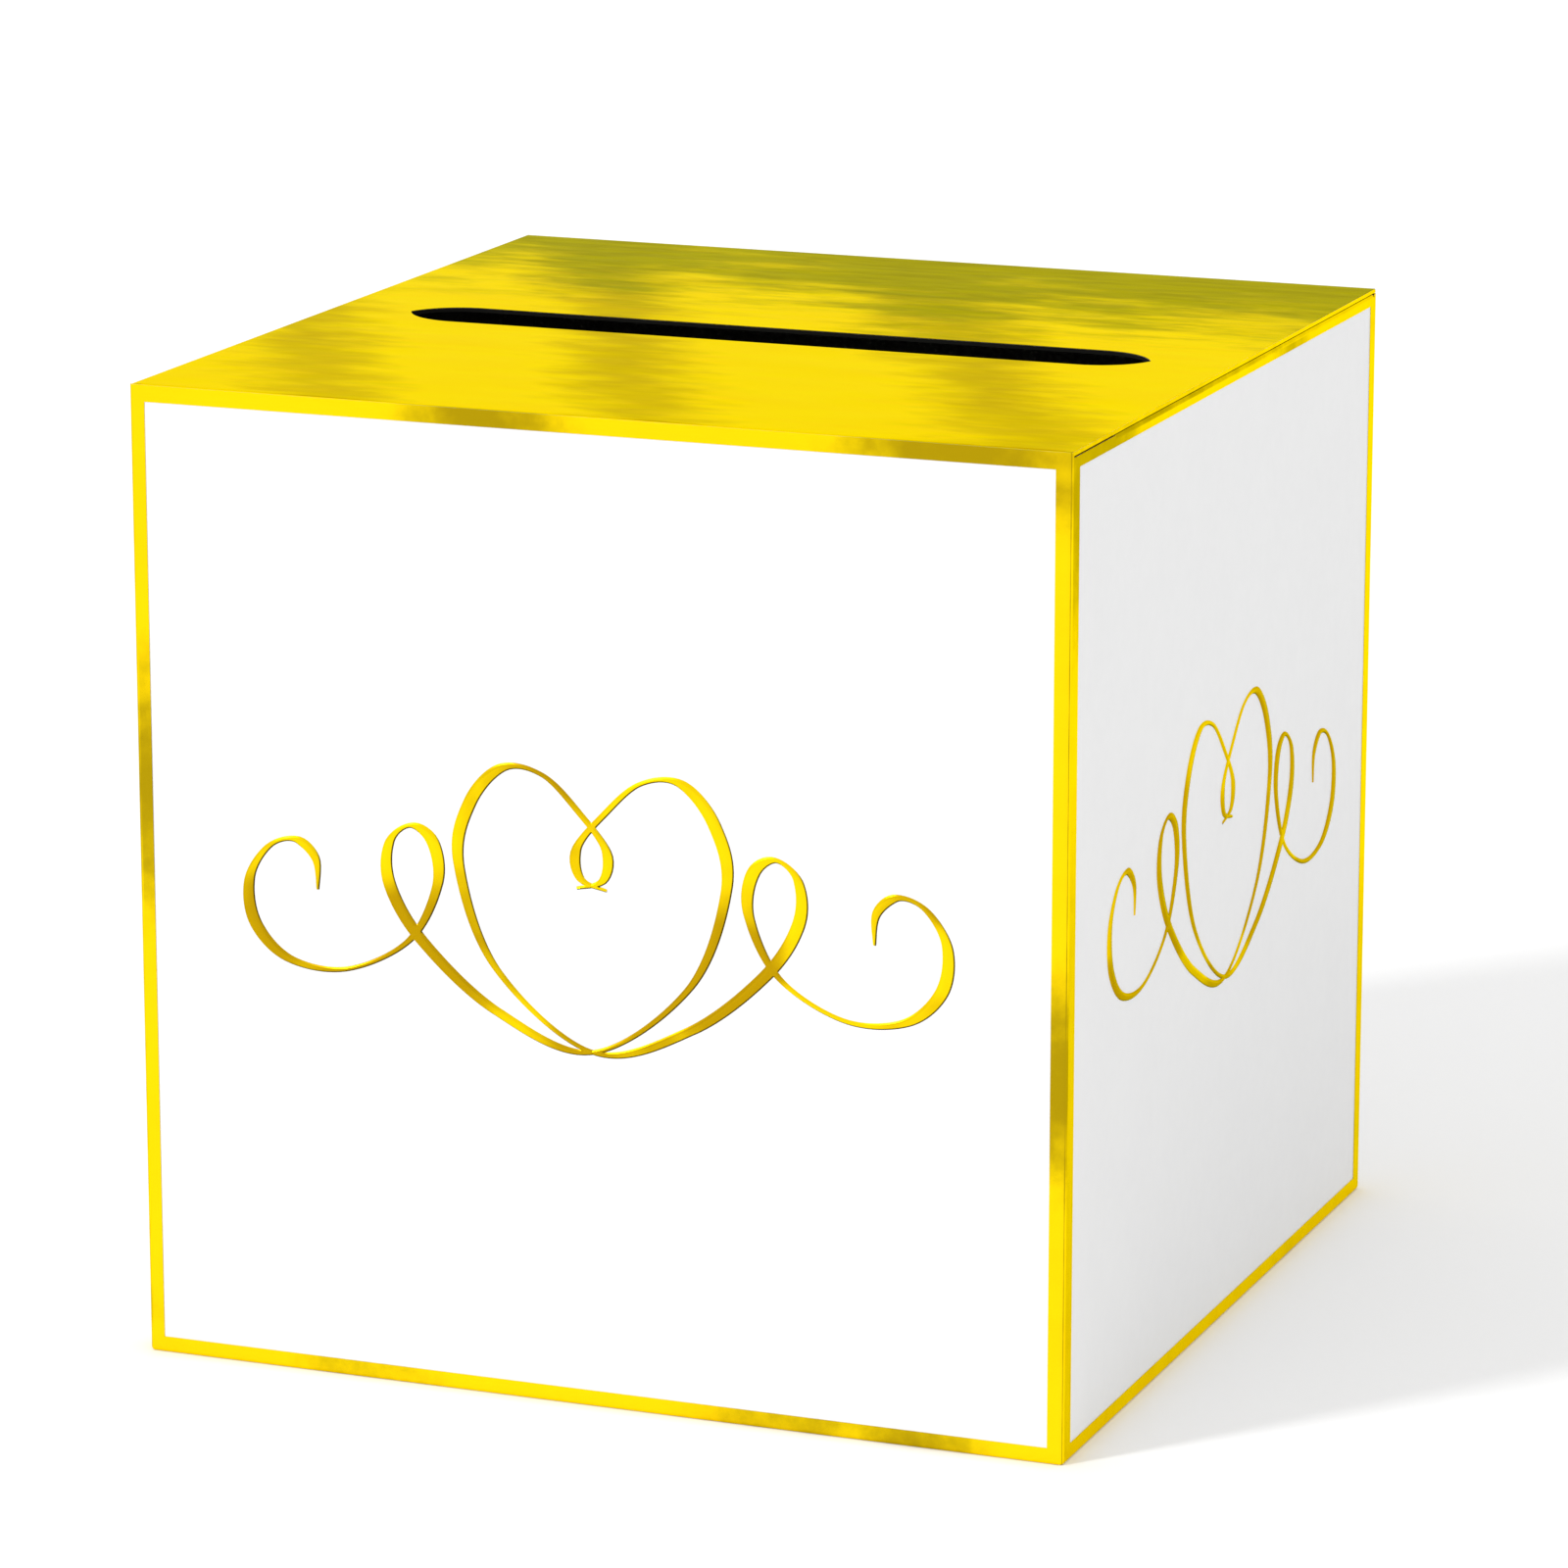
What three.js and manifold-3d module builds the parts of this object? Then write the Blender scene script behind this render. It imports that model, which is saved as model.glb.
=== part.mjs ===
// Wedding card box: a folding carton with a slotted tuck-in lid, gold foil borders and foil flourishes.
//
// Millimetres, +Z up. The origin is the centre of the base, on the surface the box stands on.
// The front of the box faces -Y. The lid is creased to the back wall and opens upwards.

import * as THREE from 'three';
import { mergeVertices } from 'three/addons/utils/BufferGeometryUtils.js';
import Module from 'manifold-3d';

const wasm = await Module();
wasm.setup();

// ---------------------------------------------------------------- driving dimensions

const width = 250;
const depth = 252;
const height = 254;
const board = 1.0;

const foil = 0.12;
const foilGap = 0.05;
const border = 4.2;
const sideBorder = 5.4;
const footGap = 0.2;

const foldGap = 0.05;
const layGap = 0.2;
const slideGap = 0.3;

const slotLength = 206.6;
const slotWidth = 22;
const slotPoint = 16;
const slotOffset = -2.3;

const lidInset = 0.4;
const tuckDepth = 25;
const tuckHalfWidth = 122.3;
const tuckCorner = 12;
const tuckLean = THREE.MathUtils.degToRad(3);

const dustReach = 56;
const dustCorner = 8;
const dustFrontSetback = 32;
const dustTaper = 6;
const notchHalfWidth = 20;
const notchReach = 18;

const seamWidth = 20;
const seamMargin = 8;
const seamTaper = 6;
const glue = 0.25;
const glueMargin = 4;
const glueSetback = 16;
const glueGap = 0.05;

const recessHalfWidth = 50;
const recessEdge = 5;
const legTip = -25;
const legTaper = 10;
const legCorner = 20;
const legShoulder = 50;

const lockHalfWidth = 44;
const lockTip = 30;
const lockCorner = 12;
const lockHem = 20;
const lockShoulder = 34;
const rampStart = -28;
const rampEnd = -8;
const rampLead = 2;

const sideTip = 46;
const sideTipBack = 14;
const sideTipFront = -48;
const sideTipCut = 14;
const sideFrontCut = 26;
const sideSetback = 4;
const sideShoulder = 20;
const sideShoulderBack = 74;

const flourishHeight = 130;
const strokeThin = 1.2;
const strokeSwell = 2.3;
const penAngle = THREE.MathUtils.degToRad(20);
const strokeEnd = 0.8;
const strokeTaper = 5;
const strokeSamples = 3;
const ribbonLength = 6;

const curveSegments = 8;

// ---------------------------------------------------------------- derived places

const skin = foil + foilGap;
const halfWidth = width / 2;
const halfDepth = depth / 2;
const innerHalfWidth = halfWidth - skin - board;
const innerHalfDepth = halfDepth - skin - board;
const lidFront = -(innerHalfDepth - slideGap);
const sideFold = height - skin - board - layGap;

// ---------------------------------------------------------------- materials

const whiteBoard = new THREE.MeshStandardMaterial({ color: 0xf4f4f3, roughness: 0.6, metalness: 0 });
const greyBoard = new THREE.MeshStandardMaterial({ color: 0x84817c, roughness: 0.9, metalness: 0 });
const goldFoil = new THREE.MeshStandardMaterial({ color: 0xffd814, roughness: 0.22, metalness: 1 });
const glueResin = new THREE.MeshStandardMaterial({ color: 0xe8e2cf, roughness: 0.5, metalness: 0 });

function mesh(name, geometry, material) {
  const piece = new THREE.Mesh(geometry, material.clone());
  piece.name = name;
  return piece;
}

// ---------------------------------------------------------------- joining and cutting

/** The closed body of a three.js geometry, ready to be joined or cut. */
function solid(geometry) {
  const bare = geometry.clone();
  bare.deleteAttribute('normal');
  bare.deleteAttribute('uv');
  const merged = mergeVertices(bare);
  return new wasm.Manifold(new wasm.Mesh({
    numProp: 3,
    vertProperties: merged.attributes.position.array,
    triVerts: merged.index.array,
  }));
}

/** A three.js geometry from a joined or cut body. */
function fromSolid(body) {
  const result = body.getMesh();
  const geometry = new THREE.BufferGeometry();
  geometry.setAttribute('position', new THREE.BufferAttribute(result.vertProperties, 3));
  geometry.setIndex(new THREE.BufferAttribute(result.triVerts, 1));
  return geometry;
}

/** A closed outline through [x, y] corners. */
function outline(corners) {
  return new THREE.Shape(corners.map(([x, y]) => new THREE.Vector2(x, y)));
}

/** A flat sheet from an outline, filling z from low to low + thickness. */
function sheet(shape, low, thickness) {
  const options = { depth: thickness, bevelEnabled: false, curveSegments };
  return new THREE.ExtrudeGeometry(shape, options).translate(0, 0, low);
}

/**
 * A rectangular board panel with its outer face at z = -skin and the board behind it.
 * Each edge named in folds is mitred, so that the panel creased to it meets it at the outer edge.
 */
function panel({ left, right, bottom, top }, folds) {
  const box = new THREE.BoxGeometry(right - left, top - bottom, board);
  box.translate((left + right) / 2, (bottom + top) / 2, -skin - board / 2);
  const points = box.attributes.position;
  for (let i = 0; i < points.count; i += 1) {
    if (points.getZ(i) < -skin - board / 2) {
      if (folds.includes('left') && points.getX(i) < (left + right) / 2) points.setX(i, left + board);
      if (folds.includes('right') && points.getX(i) > (left + right) / 2) points.setX(i, right - board);
      if (folds.includes('bottom') && points.getY(i) < (bottom + top) / 2) points.setY(i, bottom + board);
      if (folds.includes('top') && points.getY(i) > (bottom + top) / 2) points.setY(i, top - board);
    }
  }
  return box;
}

// ---------------------------------------------------------------- foil

/** A thin foil border round a side panel, from foot to top, with upright strips of the given width. */
function foilFrame(halfSpan, top, upright) {
  const frame = outline([[-halfSpan, footGap], [halfSpan, footGap], [halfSpan, top], [-halfSpan, top]]);
  const x = halfSpan - upright;
  const fieldTop = height - border;
  frame.holes.push(outline([[-x, border], [-x, fieldTop], [x, fieldTop], [x, border]]));
  return sheet(frame, -foil, foil);
}

/** One half of the flourish: an outer curl, a loop, and one side of the heart. */
const flourishPoints = [
  [-75, -2], [-75.5, 6], [-81, 10.5], [-88.5, 8], [-94, -1], [-92.5, -12.5], [-83, -21], [-67, -22],
  [-50, -13], [-42, 2], [-43, 13], [-49, 17], [-55, 12], [-55, 1], [-46, -13], [-26, -29],
  [0, -37], [26, -18], [36, 8], [33, 24], [24, 34], [13, 33], [3, 24], [-4, 15], [-3, 7.5], [4, 5],
];

/** The two edges of a pen stroke along the flourish, broad where it runs across the pen's angle. */
function strokeEdges(mirror) {
  const path = new THREE.SplineCurve(flourishPoints.map(([x, y]) => new THREE.Vector2(x, y)));
  const steps = (flourishPoints.length - 1) * strokeSamples;
  const edges = { one: [], other: [] };
  for (let i = 0; i <= steps; i += 1) {
    const t = i / steps;
    const at = path.getPoint(t);
    const along = path.getTangent(t);
    const heading = Math.atan2(along.y, along.x) - penAngle;
    const full = strokeThin + strokeSwell * Math.sin(heading) ** 2;
    const ending = Math.min(1, i / strokeTaper, (steps - i) / strokeTaper);
    const reach = (strokeEnd + (full - strokeEnd) * ending) / 2;
    edges.one.push([mirror * (at.x - along.y * reach), at.y + along.x * reach]);
    edges.other.push([mirror * (at.x + along.y * reach), at.y - along.x * reach]);
  }
  return edges;
}

/** A raised foil stroke, built in short lengths so that its loops can cross themselves. */
function stroke(mirror) {
  const { one, other } = strokeEdges(mirror);
  let whole = null;
  for (let start = 0; start + 1 < one.length; start += ribbonLength) {
    const end = start + ribbonLength + 2;
    const ribbon = outline([...one.slice(start, end), ...other.slice(start, end).reverse()]);
    const body = solid(sheet(ribbon, -foil, foil));
    whole = whole ? whole.add(body) : body;
  }
  return whole;
}

/** The flourish on each side panel: a heart between two mirrored pen strokes. */
function flourish() {
  return fromSolid(stroke(1).add(stroke(-1))).translate(0, flourishHeight, 0);
}

// ---------------------------------------------------------------- walls

/** A group whose XY plane is a side of the box: x to the right, y up, z outwards. */
function sideFace(turn, distance) {
  const side = new THREE.Group();
  side.rotation.z = turn;
  const face = new THREE.Group();
  face.rotation.x = Math.PI / 2;
  face.position.y = -distance;
  side.add(face);
  return { side, face };
}

/** One side of the box, top millimetres high: its board wall, its foil border and its foil flourish. */
function boxSide(name, { turn, distance, halfSpan, foilHalfSpan, upright, top, folds }) {
  const { side, face } = sideFace(turn, distance);
  const x = halfSpan - skin - foldGap;
  const wall = panel({ left: -x, right: x, bottom: 0, top }, folds);
  face.add(mesh(`${name}_wall`, wall, whiteBoard));
  face.add(mesh(`${name}_foil_border`, foilFrame(foilHalfSpan, top, upright), goldFoil));
  face.add(mesh(`${name}_foil_flourish`, flourish(), goldFoil));
  return side;
}

/** The four sides. The front wall's top edge is cut; the others are creased to the lid or to a dust flap. */
function walls() {
  const group = new THREE.Group();
  const corners = ['left', 'right'];
  const folded = [...corners, 'top'];
  const broad = { distance: halfDepth, halfSpan: halfWidth, foilHalfSpan: halfWidth, upright: border };
  const deep = {
    distance: halfWidth, halfSpan: halfDepth, foilHalfSpan: halfDepth - foil - foldGap, upright: sideBorder,
  };
  const backTop = height - skin - foldGap;
  group.add(boxSide('front', { ...broad, turn: 0, top: height, folds: corners }));
  group.add(boxSide('right', { ...deep, turn: Math.PI / 2, top: sideFold, folds: folded }));
  group.add(boxSide('back', { ...broad, turn: Math.PI, top: backTop, folds: folded }));
  group.add(boxSide('left', { ...deep, turn: -Math.PI / 2, top: sideFold, folds: folded }));
  return group;
}

/** The flap of the back wall that is glued inside the left wall and closes the tube, with its glue. */
function seam() {
  const { side, face } = sideFace(-Math.PI / 2, innerHalfWidth);
  const root = -(innerHalfDepth - layGap);
  const tip = root + seamWidth;
  const top = sideFold - seamMargin;
  const flap = outline([
    [root, seamMargin], [tip, seamMargin + seamTaper], [tip, top - seamTaper], [root, top],
  ]);
  const [lineStart, lineEnd] = [seamMargin + glueSetback, top - glueSetback];
  const line = outline([
    [root + glueMargin, lineStart], [tip - glueMargin, lineStart],
    [tip - glueMargin, lineEnd], [root + glueMargin, lineEnd],
  ]);
  face.add(mesh('seam_glue', sheet(line, -glueGap - glue, glue), glueResin));
  face.add(mesh('seam_flap', sheet(flap, -2 * glueGap - glue - board, board), greyBoard));
  return side;
}

// ---------------------------------------------------------------- snap-lock bottom

const layer = board + layGap;
const floorHalfWidth = innerHalfWidth - layGap;
const floorHalfDepth = innerHalfDepth - layGap;

/** The panel folded first: it covers the back of the floor, with a recess for the lock tongue. */
function bottomMainFlap() {
  const right = [
    [recessHalfWidth, recessEdge], [recessHalfWidth + legTaper, legTip], [floorHalfWidth - legCorner, legTip],
    [floorHalfWidth, legShoulder], [floorHalfWidth, floorHalfDepth],
  ];
  const left = right.map(([x, y]) => [-x, y]).reverse();
  return mesh('bottom_main_flap', sheet(outline([...right, ...left]), 2 * layer, board), greyBoard);
}

/** A side flap, held between the main flap and the lock flap. hand is 1 on the right, -1 on the left. */
function bottomSideFlap(name, hand) {
  const end = floorHalfDepth - sideSetback;
  const corners = [
    [floorHalfWidth, -end], [floorHalfWidth, end], [floorHalfWidth - sideShoulder, sideShoulderBack],
    [sideTip + sideTipCut, sideTipBack + sideTipCut], [sideTip, sideTipBack], [sideTip, sideTipFront],
    [sideTip + sideFrontCut, -end],
  ];
  const flap = outline(corners.map(([x, y]) => [hand * x, y]));
  return mesh(name, sheet(flap, layer, board), greyBoard);
}

/** The outermost bottom panel. Its tongue steps up through the recess and lies on the main flap. */
function bottomLockFlap() {
  const front = -floorHalfDepth;
  const rise = 3 * layer;
  const profile = outline([
    [front, 0], [rampStart, 0], [rampEnd, rise], [lockTip, rise],
    [lockTip, rise + board], [rampEnd, rise + board], [rampStart, board], [front, board],
  ]);
  const folded = sheet(profile, -floorHalfWidth, 2 * floorHalfWidth);
  folded.applyMatrix4(new THREE.Matrix4().makeBasis(
    new THREE.Vector3(0, 1, 0), new THREE.Vector3(0, 0, 1), new THREE.Vector3(1, 0, 0),
  ));
  const neck = rampStart - rampLead;
  const right = [
    [floorHalfWidth, front], [floorHalfWidth, front + lockHem], [floorHalfWidth - lockShoulder, neck],
    [lockHalfWidth, neck], [lockHalfWidth, lockTip - lockCorner], [lockHalfWidth - lockCorner, lockTip],
  ];
  const left = right.map(([x, y]) => [-x, y]).reverse();
  const plan = sheet(outline([...right, ...left]), -board, rise + 3 * board);
  return mesh('bottom_lock_flap', fromSolid(solid(folded).intersect(solid(plan))), whiteBoard);
}

function bottom() {
  const group = new THREE.Group();
  group.add(bottomMainFlap());
  group.add(bottomSideFlap('bottom_right_flap', 1));
  group.add(bottomSideFlap('bottom_left_flap', -1));
  group.add(bottomLockFlap());
  return group;
}

// ---------------------------------------------------------------- dust flaps

/**
 * A flap creased to the top of a side wall, lying under the lid, with a notch that keeps the slot clear.
 * frontEnd is -1 where the box's front lies towards the side's own -x, and 1 where it lies towards +x.
 */
function dustFlap(name, turn, frontEnd) {
  const { side, face } = sideFace(turn, halfWidth - skin);
  face.rotation.x = 0;
  face.position.z = sideFold;
  const front = halfDepth - dustFrontSetback;
  const back = -(innerHalfDepth - layGap - board);
  const notch = -slotOffset;
  const half = notchHalfWidth;
  const flap = new THREE.Shape();
  flap.moveTo(front, 0);
  flap.lineTo(front - dustTaper, dustReach - dustCorner);
  flap.quadraticCurveTo(front - dustTaper, dustReach, front - dustTaper - dustCorner, dustReach);
  flap.lineTo(notch + half + dustCorner, dustReach);
  flap.quadraticCurveTo(notch + half, dustReach, notch + half, dustReach - dustCorner);
  flap.lineTo(notch + half, notchReach + half);
  flap.absarc(notch, notchReach + half, half, 0, Math.PI, true);
  flap.lineTo(notch - half, dustReach - dustCorner);
  flap.quadraticCurveTo(notch - half, dustReach, notch - half - dustCorner, dustReach);
  flap.lineTo(back + dustReach, dustReach);
  flap.lineTo(back, 0);
  const plate = sheet(flap, -board, board);
  const mitre = outline([[-board, board + foldGap], [-board, -2 * board], [2 * board + foldGap, -2 * board]]);
  const wedge = sheet(mitre, -halfDepth, depth);
  wedge.applyMatrix4(new THREE.Matrix4().makeBasis(
    new THREE.Vector3(0, 1, 0), new THREE.Vector3(0, 0, 1), new THREE.Vector3(1, 0, 0),
  ));
  const cut = fromSolid(solid(plate).subtract(solid(wedge)));
  if (frontEnd < 0) {
    cut.scale(-1, 1, 1);
    cut.setIndex([...cut.index.array].reverse());
  }
  face.add(mesh(name, cut, whiteBoard));
  return side;
}

// ---------------------------------------------------------------- lid

/** The card slot: straight sides and pointed ends, each made of two arcs. */
function slotShape() {
  const half = slotWidth / 2;
  const radius = (slotPoint ** 2 + half ** 2) / slotWidth;
  const arcCentre = slotLength / 2 - slotPoint;
  const drop = radius - half;
  const sweep = Math.asin(slotPoint / radius);
  const up = Math.PI / 2;
  const shape = new THREE.Shape();
  shape.absarc(arcCentre, slotOffset + drop, radius, -up, -up + sweep, false);
  shape.absarc(arcCentre, slotOffset - drop, radius, up - sweep, up, false);
  shape.absarc(-arcCentre, slotOffset - drop, radius, up, up + sweep, false);
  shape.absarc(-arcCentre, slotOffset + drop, radius, -up - sweep, -up, false);
  return shape;
}

/** The lid: a slotted board panel creased to the back wall, its foil, and the tuck flap at its front. */
function lid() {
  const group = new THREE.Group();
  group.position.z = height;
  const edges = {
    left: -halfWidth + lidInset,
    right: halfWidth - lidInset,
    bottom: lidFront,
    top: halfDepth - skin - foldGap,
  };
  const cutter = sheet(slotShape(), -skin - 2 * board, 3 * board);
  const slotted = solid(panel(edges, ['top'])).subtract(solid(cutter));
  group.add(mesh('lid_panel', fromSolid(slotted), whiteBoard));

  const cover = outline([
    [edges.left, edges.bottom], [edges.right, edges.bottom],
    [edges.right, edges.top], [edges.left, edges.top],
  ]);
  cover.holes.push(slotShape());
  group.add(mesh('lid_foil', sheet(cover, -foil, foil), goldFoil));

  const tuck = new THREE.Group();
  tuck.position.set(0, lidFront + board, -skin - board);
  tuck.rotation.x = Math.PI / 2 + tuckLean;
  tuck.add(mesh('tuck_flap', tuckFlapGeometry(), whiteBoard));
  group.add(tuck);
  return group;
}

/** The tuck flap hangs from the lid's front crease: y runs up to the crease, z outwards. */
function tuckFlapGeometry() {
  const x = tuckHalfWidth;
  const flap = new THREE.Shape();
  flap.moveTo(-x, -foldGap);
  flap.lineTo(-x, -tuckDepth + tuckCorner);
  flap.absarc(-x + tuckCorner, -tuckDepth + tuckCorner, tuckCorner, Math.PI, 1.5 * Math.PI, false);
  flap.absarc(x - tuckCorner, -tuckDepth + tuckCorner, tuckCorner, 1.5 * Math.PI, 2 * Math.PI, false);
  flap.lineTo(x, -foldGap);
  return sheet(flap, 0, board);
}

// ---------------------------------------------------------------- the card box

const cardBox = new THREE.Group();
cardBox.add(walls());
cardBox.add(seam());
cardBox.add(bottom());
cardBox.add(dustFlap('right_dust_flap', Math.PI / 2, -1));
cardBox.add(dustFlap('left_dust_flap', -Math.PI / 2, 1));
cardBox.add(lid());

export default cardBox;
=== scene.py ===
"""Looks of the wedding card box: white coated board with gold foil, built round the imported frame.

Metres, +Z up, with the front of the box towards -Y. The walls, the lid and the flaps that move are
sheets of real thickness whose creases are small rounded folds. Their foil is thinner sheets lying on
them, and each flourish is a raised stroke. The bottom flaps, the seam flap and its glue are the
frame's own solids.
"""

import math

import bpy
import numpy as np
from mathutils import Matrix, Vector
from mathutils.geometry import delaunay_2d_cdt


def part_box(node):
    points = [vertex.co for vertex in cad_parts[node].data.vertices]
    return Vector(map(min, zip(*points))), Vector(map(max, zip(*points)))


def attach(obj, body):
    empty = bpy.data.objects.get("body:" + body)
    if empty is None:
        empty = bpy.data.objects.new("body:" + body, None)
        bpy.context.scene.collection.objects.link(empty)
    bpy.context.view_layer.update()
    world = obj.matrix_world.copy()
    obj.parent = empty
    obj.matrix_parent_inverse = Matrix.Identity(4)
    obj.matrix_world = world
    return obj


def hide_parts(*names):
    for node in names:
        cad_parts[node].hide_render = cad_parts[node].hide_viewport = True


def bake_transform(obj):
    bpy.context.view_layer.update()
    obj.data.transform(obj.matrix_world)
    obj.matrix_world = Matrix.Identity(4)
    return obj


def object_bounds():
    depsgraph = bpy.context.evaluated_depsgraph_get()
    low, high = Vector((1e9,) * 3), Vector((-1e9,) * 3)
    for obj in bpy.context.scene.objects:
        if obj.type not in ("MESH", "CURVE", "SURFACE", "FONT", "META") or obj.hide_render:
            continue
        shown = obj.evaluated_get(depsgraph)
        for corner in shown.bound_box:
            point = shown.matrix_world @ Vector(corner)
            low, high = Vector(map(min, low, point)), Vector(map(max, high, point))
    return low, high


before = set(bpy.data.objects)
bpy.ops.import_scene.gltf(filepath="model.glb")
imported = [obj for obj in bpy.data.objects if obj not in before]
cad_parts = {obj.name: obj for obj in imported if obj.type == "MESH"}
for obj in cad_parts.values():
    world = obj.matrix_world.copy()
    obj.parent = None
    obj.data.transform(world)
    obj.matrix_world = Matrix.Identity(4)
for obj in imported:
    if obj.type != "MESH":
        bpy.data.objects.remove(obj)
cad_low, cad_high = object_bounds()

MM = 0.001

# ------------------------------------------------------------------ sizes, from the frame

HALF_W, HALF_D, TOP = cad_high

wall_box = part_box("right_wall")
lid_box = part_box("lid_panel")
dust_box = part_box("right_dust_flap")
tuck_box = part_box("tuck_flap")

BOARD = dust_box[1].z - dust_box[0].z
SKIN = HALF_W - wall_box[1].x
WALL_X = HALF_W - SKIN
WALL_Y = HALF_D - SKIN
SIDE_TOP = dust_box[1].z
LID_TOP = lid_box[1].z
LID_X = lid_box[1].x
LID_FRONT = lid_box[0].y
DUST_FRONT = dust_box[0].y
DUST_BACK = dust_box[1].y
DUST_REACH = WALL_X - dust_box[0].x
TUCK_X = tuck_box[1].x
TUCK_FOOT = tuck_box[0].z

# ------------------------------------------------------------------ sizes of the finish

FOIL = 0.12 * MM
FOLD = 1.05 * MM
FOLD_STEPS = 8
HAIR = 0.02 * MM
WELD = 1e-7
CREASE_OVERHANG = 1.1
SHARP_TURN = 35.0

BORDER = 4.2 * MM
SIDE_BORDER = 5.4 * MM
BOARD_FOOT_TURN = 85.0
FOIL_FOOT_TURN = 50.0
TONE_STEP = 5 * MM

SLOT_LENGTH = 206.6 * MM
SLOT_WIDTH = 22 * MM
SLOT_POINT = 16 * MM
SLOT_Y = -2.3 * MM

TUCK_LEAN = 3.0
TUCK_CORNER = 12 * MM
DUST_CORNER = 8 * MM
DUST_CORNER_STEPS = 6
DUST_TAPER = 6 * MM
NOTCH_HALF = 20 * MM
NOTCH_REACH = 18 * MM
NOTCH_STEPS = 20
FOIL_BLEED = 3 * MM

FLOURISH_Z = 130 * MM
FLOURISH_RISE = 0.30 * MM
FLOURISH_LIP = 0.04 * MM
FLOURISH_BEVEL = 0.48 * MM


# ------------------------------------------------------------------ shader helper

class Shader:
    """A material whose nodes are added with short calls, ending in one Principled shader."""

    def __init__(self, name):
        self.material = bpy.data.materials.new(name)
        self.material.use_nodes = True
        self.tree = self.material.node_tree
        self.bsdf = self.tree.nodes["Principled BSDF"]

    def node(self, kind, **settings):
        made = self.tree.nodes.new(kind)
        for key, value in settings.items():
            setattr(made, key, value)
        return made

    def feed(self, socket, value):
        """Links a node's output to a socket, or sets the socket to a plain value."""
        if isinstance(value, bpy.types.NodeSocket):
            self.tree.links.new(value, socket)
        else:
            socket.default_value = value

    def stored(self, attribute):
        """A value kept at each point of the mesh: rest is its place at rest, painted_dark_and_tone the
        depth of its painted shade and painted dark reflection.
        """
        return self.node("ShaderNodeAttribute", attribute_name=attribute)

    def rest(self):
        return self.stored("rest").outputs["Vector"]

    def place(self):
        """The place of a surface point on a piece whose mesh never bends."""
        return self.node("ShaderNodeTexCoord").outputs["Object"]

    def stretched(self, vector, scale):
        made = self.node("ShaderNodeVectorMath", operation="MULTIPLY")
        self.feed(made.inputs[0], vector)
        made.inputs[1].default_value = scale
        return made.outputs[0]

    def noise(self, vector, scale, detail=3.0, rough=0.5):
        made = self.node("ShaderNodeTexNoise")
        self.feed(made.inputs["Vector"], vector)
        made.inputs["Scale"].default_value = scale
        made.inputs["Detail"].default_value = detail
        made.inputs["Roughness"].default_value = rough
        return made.outputs["Fac"]

    def math(self, operation, a, b=0.0, c=0.0):
        made = self.node("ShaderNodeMath", operation=operation)
        for socket, value in zip(made.inputs, (a, b, c)):
            self.feed(socket, value)
        return made.outputs[0]

    def ramp(self, value, from_low, from_high, to_low=0.0, to_high=1.0):
        made = self.node("ShaderNodeMapRange", interpolation_type="SMOOTHSTEP")
        limits = {"From Min": from_low, "From Max": from_high, "To Min": to_low, "To Max": to_high}
        for socket, limit in limits.items():
            self.feed(made.inputs[socket], limit)
        self.feed(made.inputs["Value"], value)
        return made.outputs[0]

    def mix(self, share, a, b):
        made = self.node("ShaderNodeMix", data_type="RGBA")
        self.feed(made.inputs["Factor"], share)
        for socket, color in ((made.inputs[6], a), (made.inputs[7], b)):
            self.feed(socket, color if isinstance(color, bpy.types.NodeSocket) else (*color, 1.0))
        return made.outputs[2]

    def axes(self, vector):
        made = self.node("ShaderNodeSeparateXYZ")
        self.feed(made.inputs[0], vector)
        return made.outputs

    def bump(self, height, depth, below=None):
        """Surface relief of the given depth in metres, on top of an earlier bump."""
        made = self.node("ShaderNodeBump")
        made.inputs["Distance"].default_value = depth
        self.feed(made.inputs["Height"], height)
        if below is not None:
            self.feed(made.inputs["Normal"], below)
        return made.outputs[0]

    def finish(self, color, roughness, normal, **uniform):
        self.feed(self.bsdf.inputs["Base Color"], color)
        self.feed(self.bsdf.inputs["Roughness"], roughness)
        self.feed(self.bsdf.inputs["Normal"], normal)
        for name, value in uniform.items():
            self.bsdf.inputs[name.replace("_", " ")].default_value = value
        return self.material


# ------------------------------------------------------------------ board materials

WHITE = (0.785, 0.785, 0.785)
WHITE_SHADE = (0.776, 0.776, 0.777)
GREY = (0.190, 0.184, 0.172)
GREY_DARK = (0.125, 0.120, 0.111)
GREY_FLECK = (0.30, 0.29, 0.27)
CORE = (0.42, 0.40, 0.36)
# Near black: painted shade on the slot's cut edge.
SLOT_PAINTED_SHADE = (0.006, 0.006, 0.005)
GLUE = (0.72, 0.66, 0.50)
GLUE_PALE = (0.80, 0.76, 0.63)

# How strongly each surface mirrors the room.
WHITE_GLOSS = 0.42
GREY_GLOSS = 0.25
CUT_GLOSS = 0.5
SLOT_GLOSS = 0.08


def white_finish(s, at):
    """Clay-coated white face: satin, faintly mottled, with a fine paper tooth."""
    mottle = s.ramp(s.noise(at, 55.0, 4.0, 0.6), 0.3, 0.7)
    press = s.noise(at, 240.0, 3.0, 0.55)
    tooth = s.noise(at, 2600.0, 2.0, 0.6)
    rough = s.ramp(press, 0.3, 0.7, 0.42, 0.54)
    return s.mix(mottle, WHITE, WHITE_SHADE), rough, s.bump(tooth, 0.012 * MM, s.bump(press, 0.02 * MM))


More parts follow.
